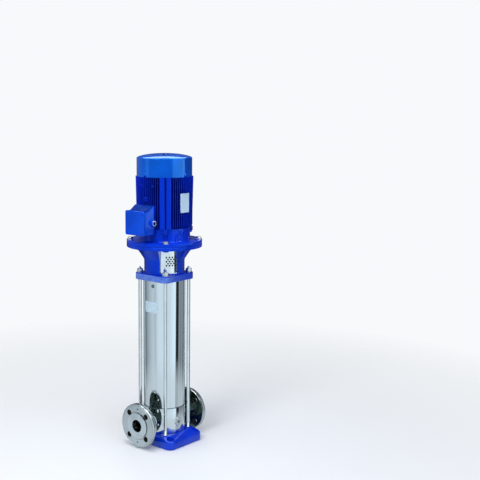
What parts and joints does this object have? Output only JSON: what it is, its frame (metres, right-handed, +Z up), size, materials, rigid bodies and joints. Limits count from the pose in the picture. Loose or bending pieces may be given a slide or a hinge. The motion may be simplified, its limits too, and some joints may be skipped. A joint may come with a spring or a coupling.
{
  "type": "vertical multistage pump",
  "caption": "Upright inline pump: flanged side ports on a square base, polished stage sleeve between tie rods, coupling lantern and finned flange motor with terminal box.",
  "frame": {"origin": "middle of the base's underside, on the shaft line", "axes": "+Z up the shaft, +X from the suction port to the discharge port, nameplate on the -Y side"},
  "size_m": [0.286, 0.258, 1.003],
  "materials": {
    "blue_paint": "gloss",
    "azure_paint": "gloss",
    "navy_paint": "gloss",
    "zinc_steel": "bright",
    "stainless": "satin",
    "polished_steel": "mirror",
    "grey_iron": "machined",
    "bush_plastic": "matt",
    "seal_rubber": "matt",
    "seal_carbon": "lapped",
    "laminations": "varnished",
    "copper": "varnished",
    "black_plastic": "moulded",
    "gland_brass": "nickel plated",
    "plate_aluminium": "satin"
  },
  "bodies": {
    "pump": {"base_plate": "blue_paint", "box_gasket": "seal_rubber", "box_lid": "azure_paint", "box_lid_screws": "zinc_steel", "cable_gland": "gland_brass", "discharge_neck": "stainless", "drive_end_shield": "blue_paint", "end_shield_screws": "zinc_steel", "end_windings": "copper", "fan_cover": "azure_paint", "fan_cover_screws": "zinc_steel", "front_guard": "stainless", "head_cover": "grey_iron", "inlet_bowl": "stainless", "inlet_guide": "stainless", "motor_bearings": "zinc_steel", "motor_bracket": "blue_paint", "motor_flange_bolts": "zinc_steel", "motor_flange_nuts": "zinc_steel", "motor_frame": "navy_paint", "motor_nameplate": "plate_aluminium", "outer_sleeve": "polished_steel", "outlet_chamber": "stainless", "pump_body": "stainless", "rear_end_shield": "blue_paint", "rear_guard": "stainless", "seal_gland": "stainless", "seal_seat_ring": "seal_carbon", "shaft_bushes": "bush_plastic", "sleeve_seals": "seal_rubber", "stage_casings": "stainless", "stator_core": "laminations", "suction_neck": "stainless", "terminal_block": "black_plastic", "terminal_box": "blue_paint", "tie_rod_nuts": "zinc_steel", "tie_rods": "zinc_steel"},
    "rotor": {"pump_shaft": "stainless", "impellers": "stainless", "seal_turning_ring": "seal_carbon", "coupling_half_front": "grey_iron", "coupling_half_rear": "grey_iron", "coupling_bolts": "zinc_steel", "motor_shaft": "zinc_steel", "rotor_core": "laminations", "cooling_fan": "black_plastic"},
    "suction_flange": {"suction_flange": "stainless"},
    "discharge_flange": {"discharge_flange": "stainless"},
    "vent_plug": {"vent_plug": "stainless"},
    "drain_plug": {"drain_plug": "stainless"}
  },
  "joints": [
    {"name": "rotor_spin", "type": "hinge", "parent": "pump", "child": "rotor", "pos_m": [0, 0, 0.3], "axis": [0, 0, 1], "continuous": true},
    {"name": "suction_flange_turn", "type": "hinge", "parent": "pump", "child": "suction_flange", "pos_m": [-0.1267, 0, 0.08], "axis": [1, 0, 0], "continuous": true},
    {"name": "discharge_flange_turn", "type": "hinge", "parent": "pump", "child": "discharge_flange", "pos_m": [0.1267, 0, 0.08], "axis": [1, 0, 0], "continuous": true},
    {"name": "vent_plug_out", "type": "slide", "parent": "pump", "child": "vent_plug", "axis": [-0.9848, -0.1736, 0], "range_m": [0, 0.02]},
    {"name": "drain_plug_out", "type": "slide", "parent": "pump", "child": "drain_plug", "axis": [-0.1045, -0.9945, 0], "range_m": [0, 0.02]}
  ]
}
